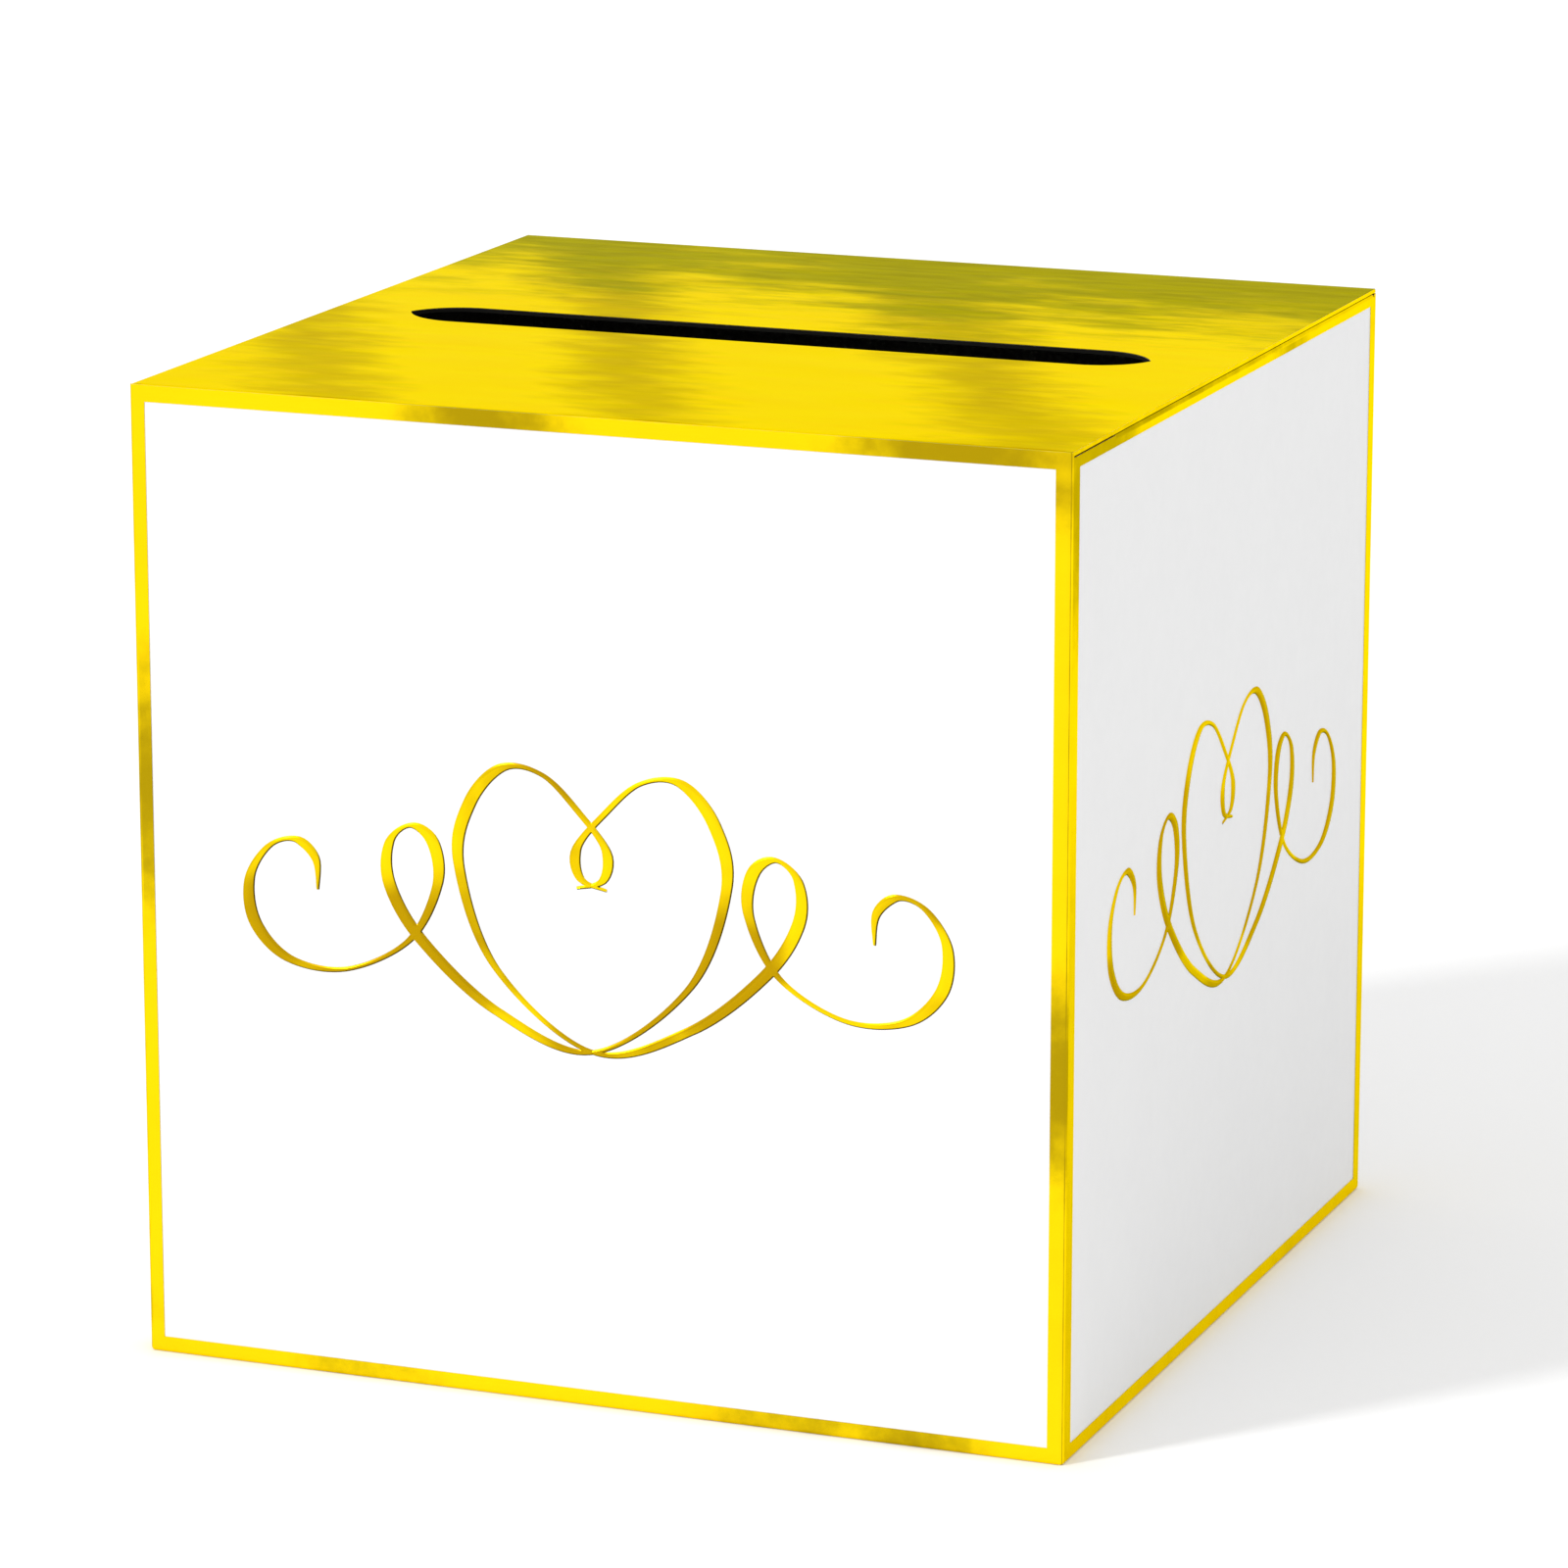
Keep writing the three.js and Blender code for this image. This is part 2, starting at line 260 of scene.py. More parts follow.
def grey_finish(s, at):
    """Uncoated back of recycled board: matte grey with fibres and small flecks."""
    fibres = s.noise(s.stretched(at, (1.0, 2.6, 1.0)), 620.0, 4.0, 0.7)
    flecks = s.noise(at, 900.0, 2.0, 0.5)
    cloud = s.noise(at, 40.0, 3.0)
    base = s.mix(s.ramp(fibres, 0.35, 0.68), GREY_DARK, GREY)
    light = s.mix(s.ramp(flecks, 0.62, 0.74), base, GREY_FLECK)
    color = s.mix(s.ramp(cloud, 0.3, 0.7, 0.0, 0.35), light, GREY_DARK)
    return color, s.ramp(cloud, 0.2, 0.8, 0.82, 0.95), s.bump(fibres, 0.05 * MM)


def white_board():
    s = Shader("white_coated_face")
    return s.finish(*white_finish(s, s.rest()), Specular_IOR_Level=WHITE_GLOSS)


def grey_board():
    s = Shader("grey_board_back")
    return s.finish(*grey_finish(s, s.rest()), Specular_IOR_Level=GREY_GLOSS)


def cut_board(name, light, dark, gloss):
    """A cut edge of the board, showing its pressed layers of fibre."""
    s = Shader(name)
    layers = s.noise(s.stretched(s.rest(), (1.0, 1.0, 14.0)), 450.0, 3.0, 0.7)
    color = s.mix(s.ramp(layers, 0.3, 0.7), light, dark)
    rough = s.ramp(layers, 0.2, 0.8, 0.85, 0.97)
    return s.finish(color, rough, s.bump(layers, 0.05 * MM), Specular_IOR_Level=gloss)


def two_sided_board(name, axis, side):
    """Board of a flat inner flap: white where its face looks along side on the axis, grey elsewhere."""
    s = Shader(name)
    coordinates = s.node("ShaderNodeTexCoord")
    at = coordinates.outputs["Object"]
    facing = s.axes(coordinates.outputs["Normal"])[axis]
    white = s.math("GREATER_THAN", s.math("MULTIPLY", facing, side), 0.5)
    white_color, white_rough, white_normal = white_finish(s, at)
    grey_color, grey_rough, _ = grey_finish(s, at)
    rough = s.math("ADD", s.math("MULTIPLY", white_rough, white),
                   s.math("MULTIPLY", grey_rough, s.math("SUBTRACT", 1.0, white)))
    return s.finish(s.mix(white, grey_color, white_color), rough, white_normal)


def glue_material():
    """Dried glue: pale straw colour, glossy and a little lumpy."""
    s = Shader("dried_glue")
    lumps = s.noise(s.place(), 160.0, 3.0)
    color = s.mix(s.ramp(lumps, 0.3, 0.7), GLUE, GLUE_PALE)
    return s.finish(color, s.ramp(lumps, 0.2, 0.8, 0.25, 0.45), s.bump(lumps, 0.2 * MM))


# ------------------------------------------------------------------ foil materials

GOLD = (1.0, 0.72, 0.003)
GOLD_WARM = (0.98, 0.65, 0.003)
# Painted dark reflection on the borders and folds.
GOLD_PAINTED_REFLECTION = (0.44, 0.30, 0.003)
# Painted shade on the flourishes' bevels.
GOLD_PAINTED_BEVEL_SHADE = (0.075, 0.045, 0.002)
# Deep gold of the flourishes: a random change of tone, and painted shade on the side walls.
FLOURISH_DEEP_AND_PAINTED_SHADE = (0.47, 0.27, 0.002)
# Painted dark reflection in the lid's bands.
LID_PAINTED_REFLECTION = (0.42, 0.22, 0.002)
# Painted olive reflection at the back of the lid.
LID_PAINTED_REFLECTION_OLIVE = (0.075, 0.065, 0.001)

# The tint keeps the foil yellow where it is seen at a low angle.
FOIL_SHEEN = {"Metallic": 1.0, "Specular_Tint": (1.0, 0.93, 0.05, 1.0)}

# Painted dark reflections as bands across the lid: (centre, half width, depth), in millimetres along their
# slanted row.
PAINTED_REFLECTION_BANDS = [(-130, 28, 0.8), (-44, 30, 0.85), (52, 32, 0.85)]
BAND_SLANT = 0.48
BAND_FEATHER = 9 * MM
BAND_DRIFT = 7 * MM
BAND_FRONT_SHARE = 0.8

# The painted olive reflection at the back of the lid starts and is full at these shares of the box's half
# depth.
# Its edge slants, is smeared this far to and fro, and is pulled this far forward by the painted bands.
PAINTED_REFLECTION_START = 0.17
PAINTED_REFLECTION_FULL = 0.88
PAINTED_REFLECTION_DEPTH = 0.95
PAINTED_REFLECTION_SLANT = 0.12
PAINTED_REFLECTION_SMEAR = 32 * MM
PAINTED_REFLECTION_PULL = 36 * MM

TRIM_RAGGED = 0.16
# Painted shade on the flourishes of the side walls.
FLANK_PAINTED_SHADE = 0.35
SWEEP_DEPTH = 0.9


def foil_finish(s, at, painted_dark_and_tone, deep=GOLD_PAINTED_REFLECTION):
    """Gold foil: painted_dark_and_tone 0 is bright and 1 is deep, where deep is painted shade and painted
    dark reflection, and on the flourishes also a random change of tone. Its fine streaks run along the
    width of the box.
    """
    streaks = s.noise(s.stretched(at, (0.2, 1.0, 0.6)), 260.0, 3.0, 0.5)
    cloud = s.noise(s.stretched(at, (0.5, 1.0, 1.0)), 60.0, 4.0, 0.55)
    grain = s.noise(at, 1900.0, 2.0, 0.5)
    warm = s.mix(s.ramp(cloud, 0.35, 0.75, 0.0, 0.6), GOLD, GOLD_WARM)
    rough = s.ramp(streaks, 0.25, 0.75, 0.16, 0.26)
    relief = s.bump(grain, 0.003 * MM, s.bump(streaks, 0.008 * MM, s.bump(cloud, 0.12 * MM)))
    return s.mix(painted_dark_and_tone, warm, deep), rough, relief


def lid_painted_reflection_bands(s, at):
    """Depth of the lid's slanted soft bands of painted dark reflection, whose edges are drawn out sideways
    into streaks.
    """
    x, y, _ = s.axes(at)
    feather = s.noise(s.stretched(at, (0.35, 1.0, 1.0)), 110.0, 3.0, 0.55)
    drift = s.noise(s.stretched(at, (1.0, 0.4, 1.0)), 14.0, 2.0)
    feathered = s.ramp(feather, 0.2, 0.8, -BAND_FEATHER, BAND_FEATHER)
    drifting = s.ramp(drift, 0.2, 0.8, -BAND_DRIFT, BAND_DRIFT)
    across = s.math("ADD", s.math("MULTIPLY_ADD", y, BAND_SLANT, x), s.math("ADD", feathered, drifting))
    deepest = 0.0
    for centre, half, depth in PAINTED_REFLECTION_BANDS:
        off = s.math("ABSOLUTE", s.math("SUBTRACT", across, centre * MM))
        deepest = s.math("MAXIMUM", s.ramp(off, 0.0, half * MM, depth, 0.0), deepest)
    return s.math("MULTIPLY", deepest, s.ramp(y, -HALF_D, -0.35 * HALF_D, BAND_FRONT_SHARE, 1.0))


def lid_foil_material():
    """The lid's foil: painted dark reflections, as bands of deep gold that run into a ragged painted olive
    reflection at the back crease.
    """
    s = Shader("lid_gold_foil")
    at = s.rest()
    x, y, _ = s.axes(at)
    painted_bands = lid_painted_reflection_bands(s, at)
    color, rough, normal = foil_finish(s, at, painted_bands, LID_PAINTED_REFLECTION)
    # The olive back of the lid is a painted reflection with a ragged edge.
    smear = s.noise(s.stretched(at, (0.3, 1.0, 1.0)), 75.0, 4.0, 0.62)
    smeared = s.ramp(smear, 0.25, 0.75, -PAINTED_REFLECTION_SMEAR, PAINTED_REFLECTION_SMEAR)
    ragged = s.math("ADD", s.math("MULTIPLY_ADD", x, PAINTED_REFLECTION_SLANT, y), smeared)
    reach = s.math("MULTIPLY_ADD", painted_bands, PAINTED_REFLECTION_PULL, ragged)
    back = s.ramp(reach, PAINTED_REFLECTION_START * HALF_D, PAINTED_REFLECTION_FULL * HALF_D, 0.0, PAINTED_REFLECTION_DEPTH)
    return s.finish(s.mix(back, color, LID_PAINTED_REFLECTION_OLIVE), rough, normal, **FOIL_SHEEN)


def trim_foil_material():
    """Foil of the borders and folds: painted shade and painted dark reflection where the mesh's stored
    values say.
    """
    s = Shader("trim_gold_foil")
    at = s.rest()
    ragged = s.noise(at, 130.0, 4.0, 0.6)
    shift = s.ramp(ragged, 0.2, 0.8, -TRIM_RAGGED, TRIM_RAGGED)
    painted_dark_and_tone = s.math("ADD", s.stored("painted_dark_and_tone").outputs["Fac"], shift)
    return s.finish(*foil_finish(s, at, s.ramp(painted_dark_and_tone, 0.12, 0.95)), **FOIL_SHEEN)


def flourish_foil_material():
    """Foil of the flourishes: soft random changes of gold, painted shade on the flanks, and painted shade
    on the bevels.
    """
    s = Shader("flourish_gold_foil")
    at = s.rest()
    x, _, _ = s.axes(at)
    # The flourishes on the side walls are painted darker, as shade.
    painted_flank_shade = s.ramp(s.math("ABSOLUTE", x), 0.85 * HALF_W, 0.95 * HALF_W, 0.0, FLANK_PAINTED_SHADE)
    sweep = s.ramp(s.noise(at, 27.0, 3.0, 0.45), 0.42, 0.60, 0.0, SWEEP_DEPTH)
    color, rough, normal = foil_finish(s, at, s.math("MAXIMUM", sweep, painted_flank_shade), FLOURISH_DEEP_AND_PAINTED_SHADE)
    # Painted shade on the bevels, from the value kept at each point.
    shade = s.ramp(s.stored("painted_dark_and_tone").outputs["Fac"], 0.12, 0.6)
    return s.finish(s.mix(shade, color, GOLD_PAINTED_BEVEL_SHADE), rough, normal, **FOIL_SHEEN)


white_face = white_board()
grey_face = grey_board()
cut_edge = cut_board("board_cut_edge", CORE, GREY, CUT_GLOSS)
# The slot's cut edge is painted near black, as the shade inside the slot.
slot_edge = cut_board("slot_cut_edge", SLOT_PAINTED_SHADE, SLOT_PAINTED_SHADE, SLOT_GLOSS)
lid_foil = lid_foil_material()
trim_foil = trim_foil_material()
flourish_foil = flourish_foil_material()

BOARD_FACES = [white_face, grey_face, cut_edge, trim_foil, slot_edge]
OUTER, INNER, CUT, GILT, SLOT = range(5)


# ------------------------------------------------------------------ sheets with thickness

def link(name, points, faces, materials, marks, painted_darks):
    """A mesh object that carries each point's rest place and its painted shade and dark reflection for its
    materials.
    """
    mesh = bpy.data.meshes.new(name)
    mesh.from_pydata([tuple(p) for p in points], [], faces)
    for material in materials:
        mesh.materials.append(material)
    mesh.polygons.foreach_set("material_index", marks)
    mesh.polygons.foreach_set("use_smooth", [True] * len(mesh.polygons))
    mesh.set_sharp_from_angle(angle=math.radians(SHARP_TURN))
    rest = mesh.attributes.new("rest", "FLOAT_VECTOR", "POINT")
    rest.data.foreach_set("vector", np.array([tuple(p) for p in points], np.float32).ravel())
    painted_dark_and_tone = mesh.attributes.new("painted_dark_and_tone", "FLOAT", "POINT")
    painted_dark_and_tone.data.foreach_set("value", np.array(painted_darks, np.float32))
    mesh.validate()
    mesh.update()
    made = bpy.data.objects.new(name, mesh)
    bpy.context.scene.collection.objects.link(made)
    return made


def closed(name, outer, inner, faces, materials, rim=None, painted_darks=None):
    """A closed sheet between two layers of points that share the same faces.

    materials are those of the outer face, the inner face and the rims; rim picks another for the
    rim at a place. Points that no face uses are left out.
    """
    used = sorted({i for face in faces for i in face})
    place = {old: new for new, old in enumerate(used)}
    faces = [[place[i] for i in face] for face in faces]
    outer, inner = [outer[i] for i in used], [inner[i] for i in used]
    painted_darks = [painted_darks[i] for i in used] if painted_darks is not None else [0.0] * len(used)
    count = len(used)
    directed = {edge for face in faces for edge in zip(face, face[1:] + face[:1])}
    all_faces = faces + [[count + i for i in reversed(face)] for face in faces]
    marks = [OUTER] * len(faces) + [INNER] * len(faces)
    for a, b in sorted(directed):
        if (b, a) not in directed:
            all_faces.append([b, a, count + a, count + b])
            marks.append(rim((outer[a] + outer[b]) / 2) if rim else CUT)
    return link(name, outer + inner, all_faces, materials, marks, painted_darks + painted_darks)


def thick(name, placed, faces, thickness, materials, rim=None, painted_darks=None):
    """A closed sheet whose outer layer is the placed (point, normal) pairs."""
    outer = [point for point, _ in placed]
    inner = [point - normal * thickness for point, normal in placed]
    return closed(name, outer, inner, faces, materials, rim, painted_darks)


def arc(centre_x, centre_y, radius, start, end, steps=12):
    """Points round part of a circle, both ends included. Angles are in degrees."""
    turns = [math.radians(start + (end - start) * i / steps) for i in range(steps + 1)]
    return [(centre_x + radius * math.cos(t), centre_y + radius * math.sin(t)) for t in turns]


def blank(outline, holes=(), creases=()):
    """Triangles of a flat blank: its outline less its holes, with a row of points along each crease."""
    points, edges, loops = [], [], []
    for loop in (outline, *holes):
        loops.append(list(range(len(points), len(points) + len(loop))))
        points += loop
    reach = CREASE_OVERHANG * max(abs(x) for x, _ in outline)
    for along in creases:
        edges.append((len(points), len(points) + 1))
        points += [(-reach, along), (reach, along)]
    made = delaunay_2d_cdt([Vector(p) for p in points], edges, loops, 1, WELD)
    kept = [list(face) for face, source in zip(made[2], made[5]) if list(source) == [0]]
    return made[0], kept


class Fold:
    """A flat blank bent once round a rounded crease. A blank point is (across, along)."""

    def __init__(self, start, first, outward, turn=90.0, lift=0.0):
        self.start, self.first, self.outward = Vector(start), Vector(first), Vector(outward)
        self.across = self.first.cross(self.outward)
        self.centre = self.start - self.outward * FOLD
        self.radius = FOLD + lift
        self.turn = math.radians(turn)
        self.arc = self.radius * self.turn

    def place(self, across, along):
        """The point and its outward normal. The bend starts at along = 0."""
        angle = min(max(along / self.radius, 0.0), self.turn)
        normal = self.outward * math.cos(angle) + self.first * math.sin(angle)
        ahead = self.first * math.cos(angle) - self.outward * math.sin(angle)
        straight = min(along, 0.0) + max(along - self.arc, 0.0)
        return self.centre + self.across * across + normal * self.radius + ahead * straight, normal

    def reach(self, distance):
        """How far along the blank lies a place at this distance from the first side's board face."""
        return self.arc + distance - FOLD

    def creases(self):
        rows = [self.arc * i / FOLD_STEPS for i in range(1, FOLD_STEPS + 1)]
        return [*rows, self.arc + BOARD, self.arc + 2 * BOARD]

    def end(self):
        """Where the bend ends on the board's outer face."""
        return self.centre + (self.outward * math.cos(self.turn) + self.first * math.sin(self.turn)) * FOLD


def folded(name, fold, shape, thickness, materials, rim=None, painted_dark_and_tone=None):
    """A blank bent round a fold and given its thickness."""
    points, faces = shape
    placed = [fold.place(across, along) for across, along in points]
    painted_darks = [painted_dark_and_tone(point) for point, _ in placed] if painted_dark_and_tone else None
    return thick(name, placed, faces, thickness, materials, rim, painted_darks)


def bend_between(piece, second, fold):
    """Bakes the piece's transform into its mesh. The second body is not used."""
    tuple(fold.start)
    fold.end()
    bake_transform(piece)


# ------------------------------------------------------------------ plan of the four walls

class Side:
    """One side of the box: outward is its normal, along runs to the right as seen from outside."""

    def __init__(self, name, outward, reach, half_length, window):
        self.name, self.outward = name, Vector(outward)
        self.along = Vector((-self.outward.y, self.outward.x, 0.0))
        self.reach, self.half_length, self.window = reach, half_length, window

    def place(self, across, height, lift):
        """A point on the side, lifted off the board's outer face."""
        return self.outward * (self.reach + lift) + self.along * across + Vector((0, 0, height))

    def top(self, across):
        """Where the wall ends: at a cut edge, or where the fold to the lid or a dust flap starts."""
        if self.name == "front":
            return TOP
        if self.name == "back":
            return LID_TOP - FOLD
        y = self.along.y * across
        return SIDE_TOP - FOLD if DUST_FRONT < y < DUST_BACK else SIDE_TOP

    def flap_ends(self):
        """Where the dust flap's crease starts and stops on a side wall, each just before and after."""
        if self.name in ("front", "back"):
            return []
        return [self.along.y * y + hair for y in (DUST_FRONT, DUST_BACK) for hair in (-HAIR, HAIR)]


BROAD = {"reach": WALL_Y, "half_length": WALL_X - FOLD, "window": HALF_W - BORDER}
DEEP = {"reach": WALL_X, "half_length": WALL_Y - FOLD, "window": WALL_Y - SIDE_BORDER}
FRONT = Side("front", (0, -1, 0), **BROAD)
RIGHT = Side("right", (1, 0, 0), **DEEP)
BACK = Side("back", (0, 1, 0), **BROAD)
LEFT = Side("left", (-1, 0, 0), **DEEP)
SIDES = [FRONT, RIGHT, BACK, LEFT]


def upright_lines(stops):
    """Upright lines round the box, anticlockwise from above: (side, across, core, normal, top).

    The core of a line lies one fold radius inside the board's outer face.
    """
    found = []
    for side in SIDES:
        end = side.half_length
        for across in sorted({-end, end, *(c for c in stops(side) if abs(c) < end - HAIR)}):
            core = side.place(across, 0.0, -FOLD)
            found.append((side, across, core, side.outward, side.top(across)))
        top = TOP if side.name in ("front", "left") else SIDE_TOP
        for i in range(1, FOLD_STEPS):
            turn = math.radians(90.0 * i / FOLD_STEPS)
            normal = side.outward * math.cos(turn) + side.along * math.sin(turn)
            found.append((side, end + FOLD * math.sin(turn), core, normal, top))
    return found


def wrapped(lines, foot_turn, heights, lift):
    """(point, normal) pairs round the box: up the rounded foot, then each height, then the top."""
    placed = []
    for i in range(FOLD_STEPS + 1):
        turn = math.radians(foot_turn * (1 - i / FOLD_STEPS))
        for _, _, core, normal, _ in lines:
            out = normal * math.cos(turn) - Vector((0, 0, math.sin(turn)))
            placed.append((core + Vector((0, 0, FOLD)) + out * (FOLD + lift), out))
    for height in [*heights, None]:
        for _, _, core, normal, top in lines:
            level = Vector((0, 0, top if height is None else height))
            placed.append((core + normal * (FOLD + lift) + level, normal))
    return placed


def ring_faces(rows, count, wanted=lambda row, column: True):
    """Quads between the rows of a closed ring of points."""
    faces = []
    for row in range(rows - 1):
        for column in range(count):
            low, after = row * count, (column + 1) % count
            if wanted(row, column):
                faces.append([low + column, low + after, low + count + after, low + count + column])
    return faces


# ------------------------------------------------------------------ painted dark reflections on the borders

# For each strip: (centre, half length, depth) of its patches of painted dark reflection, in millimetres
# along the strip.
# Left and right are the strips at those ends of a side seen from outside, measured in height.
PAINTED_REFLECTION_PATCHES = {
    "front": {
        "top": [(-28, 38, 0.95), (97, 52, 1.0)], "bottom": [(86, 30, 0.8), (54, 50, 0.6), (-64, 36, 0.5)],
        "left": [(150, 56, 0.95), (4, 26, 0.4)], "right": [(254, 34, 0.85), (97, 44, 0.95)],
    },
    "right": {
        "top": [(-107, 58, 0.95), (50, 30, 0.7)], "bottom": [(60, 22, 0.35)],
        "left": [(254, 84, 0.95)], "right": [(16, 16, 0.4), (250, 14, 0.5)],
    },
    "back": {
        "top": [(-80, 32, 0.7), (40, 30, 0.9)], "bottom": [(-70, 30, 0.7), (60, 50, 0.3)],
        "left": [(120, 40, 0.8), (250, 24, 0.5)], "right": [(60, 34, 0.6), (190, 44, 0.8)],
    },
    "left": {
        "top": [(-30, 34, 0.7), (100, 30, 0.8)], "bottom": [(-90, 30, 0.6), (30, 40, 0.5)],
        "left": [(60, 36, 0.7), (200, 34, 0.5)], "right": [(150, 46, 0.8), (10, 20, 0.5)],
    },
}


def painted_reflection_at(patches, place):
    """How dark the painted reflection is at a place along a strip: the deepest of its soft-edged patches.
    """
    best = 0.0
    for centre, half, depth in patches:
        inside = max(0.0, 1.0 - abs(place / MM - centre) / half)
        best = max(best, depth * inside * inside * (3 - 2 * inside))
    return best


# Away from the front the gold is painted a little deeper all over, as shade. A fine line of painted shade
# runs down each corner.
SIDE_PAINTED_SHADE = {"front": 0.0, "right": 0.18, "back": 0.1, "left": 0.18}
CORNER_PAINTED_SHADE = 0.95
CORNER_LINE = 0.6 * FOLD, 0.8 * FOLD

# The lid's cut side edges catch more light than the borders do, so the painted dark reflections show less
# on them.
LID_EDGE_PAINTED_REFLECTION = 0.1
LID_EDGE_SHARE = 0.5


# Painted shade and painted dark reflection of a border at a place: a shade line down each corner, the
# strip's patches, and the side's all-over shade.
def border_painted_dark(side, across, height):
    strips, least = PAINTED_REFLECTION_PATCHES[side.name], SIDE_PAINTED_SHADE[side.name]
    if CORNER_LINE[0] < abs(across) - side.half_length < CORNER_LINE[1]:
        return CORNER_PAINTED_SHADE
    if height < BORDER:
        return max(least, painted_reflection_at(strips["bottom"], across))
    if height > TOP - BORDER - HAIR:
        return max(least, painted_reflection_at(strips["top"], across))
    return max(least, painted_reflection_at(strips["left" if across < 0 else "right"], height))


# ------------------------------------------------------------------ walls

def wall_rim(middle):
    """The walls' top edges are gilt; the cut edges at their foot show the board."""
    return GILT if middle.z > SIDE_TOP - 2 * FOLD else CUT


def build_sleeve():
    """The four walls as one creased board, with the rounded creases at their foot."""

    def stops(side):
        count = round(side.half_length / TONE_STEP)
        even = [side.half_length * i / count for i in range(-count, count + 1)]
        return side.flap_ends() if side.flap_ends() else even

    lines = upright_lines(stops)
    placed = wrapped(lines, BOARD_FOOT_TURN, [], 0.0)
    faces = ring_faces(len(placed) // len(lines), len(lines))
    # The gilt top edges take the painted dark reflection of the front's top strip.
    painted_darks = [border_painted_dark(FRONT, point.x, TOP) for point, _ in placed]
    sleeve = thick("carton_sleeve", placed, faces, BOARD, BOARD_FACES, wall_rim, painted_darks)
    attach(sleeve, "carton")
    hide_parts("front_wall", "right_wall", "back_wall", "left_wall")


def build_wall_borders():
    """The foil borders of the four walls, which run into each other round the corner creases."""

    def stops(side):
        count = round(side.window / TONE_STEP)
        return [side.window * i / count for i in range(-count, count + 1)] + side.flap_ends()

    lines = upright_lines(stops)
    field = TOP - 2 * BORDER
    count = round(field / TONE_STEP)
    heights = [BORDER + field * i / count for i in range(count + 1)]
    placed = wrapped(lines, FOIL_FOOT_TURN, heights, SKIN)

    def is_foil(row, column):
        side, across, _, _, _ = lines[column]
        beyond = lines[(column + 1) % len(lines)][1]
        at = row * len(lines) + column
        middle = (placed[at][0].z + placed[at + len(lines)][0].z) / 2
        inside = max(abs(across), abs(beyond)) < side.window + HAIR
        return not (inside and BORDER < middle < TOP - BORDER)

    # Each point carries the painted shade and painted dark reflection of its border.
    painted_darks = [border_painted_dark(*lines[i % len(lines)][:2], point.z) for i, (point, _) in enumerate(placed)]
    faces = ring_faces(len(placed) // len(lines), len(lines), is_foil)
    border = thick("wall_foil_border", placed, faces, FOIL, [trim_foil] * 3, None, painted_darks)
    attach(border, "carton")
    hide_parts("front_foil_border", "right_foil_border", "back_foil_border", "left_foil_border")


build_sleeve()
build_wall_borders()


# ------------------------------------------------------------------ lid and tuck flap

def slot_outline(fold):
    """The card slot in the lid's blank: straight sides and ends of two arcs that meet at a point."""
    half = SLOT_WIDTH / 2
    radius = (SLOT_POINT ** 2 + half ** 2) / SLOT_WIDTH
    sweep = math.degrees(math.asin(SLOT_POINT / radius))
    x, middle = SLOT_LENGTH / 2 - SLOT_POINT, fold.reach(WALL_Y - SLOT_Y)
    low, high = middle - radius + half, middle + radius - half
    right = arc(x, high, radius, -90, -90 + sweep) + arc(x, low, radius, 90 - sweep, 90)[1:]
    left = arc(-x, low, radius, 90, 90 + sweep) + arc(-x, high, radius, -90 - sweep, -90)[1:]
    return right + left


def lid_blank(fold):
    """The lid from its back crease to its front crease, with shoulders beside the tuck flap."""
    crease = fold.reach(WALL_Y - LID_FRONT - FOLD)
    front = fold.reach(WALL_Y - LID_FRONT)
    outline = [
        (-LID_X, 0.0), (LID_X, 0.0), (LID_X, front), (TUCK_X, front),
        (TUCK_X, crease), (-TUCK_X, crease), (-TUCK_X, front), (-LID_X, front),
    ]
    return blank(outline, [slot_outline(fold)], fold.creases())


def lid_rim(middle):
    """Painted black shade at the slot, gilt along the lid's two sides and its front corners, plain at the
    creases.
    """
    if abs(middle.x) < SLOT_LENGTH / 2 + HAIR and abs(middle.y - SLOT_Y) < SLOT_WIDTH / 2 + HAIR:
        return SLOT
    return GILT if abs(middle.x) > TUCK_X - HAIR else CUT


def back_fold(lift=0.0):
    return Fold((0, WALL_Y, LID_TOP - FOLD), (0, 0, 1), (0, 1, 0), lift=lift)


def front_fold(lift=0.0):
    start = (0, LID_FRONT + FOLD, LID_TOP)
    return Fold(start, (0, -1, 0), (0, 0, 1), turn=90 + TUCK_LEAN, lift=lift)


def lid_edge_painted_dark(point):
    """Painted dark reflection along the lid's cut side edges, which follows the border below them."""
    return LID_EDGE_PAINTED_REFLECTION + LID_EDGE_SHARE * painted_reflection_at(PAINTED_REFLECTION_PATCHES["right"]["top"], point.y)


def build_lid():
    """The lid board with its back crease, and the foil over both."""
    fold = back_fold()
    board = folded("lid_board", fold, lid_blank(fold), BOARD, BOARD_FACES, lid_rim, lid_edge_painted_dark)
    bend_between(board, "lid", fold)
    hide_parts("lid_panel")

    over = back_fold(SKIN)
    skin = folded("lid_foil_skin", over, lid_blank(over), FOIL, [lid_foil] * 3)
    bend_between(skin, "lid", fold)
    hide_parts("lid_foil")


def tuck_blank(fold, foot, corner):
    """The tuck flap from its crease to its foot, with rounded corners."""
    x, low = TUCK_X, foot - corner
    outline = [(-x, 0.0), (x, 0.0)]
    if corner:
        outline += arc(x - corner, low, corner, 0, 90) + arc(-x + corner, low, corner, 90, 180)
    else:
        outline += [(x, foot), (-x, foot)]
    return blank(outline, creases=[row for row in fold.creases() if row < foot])


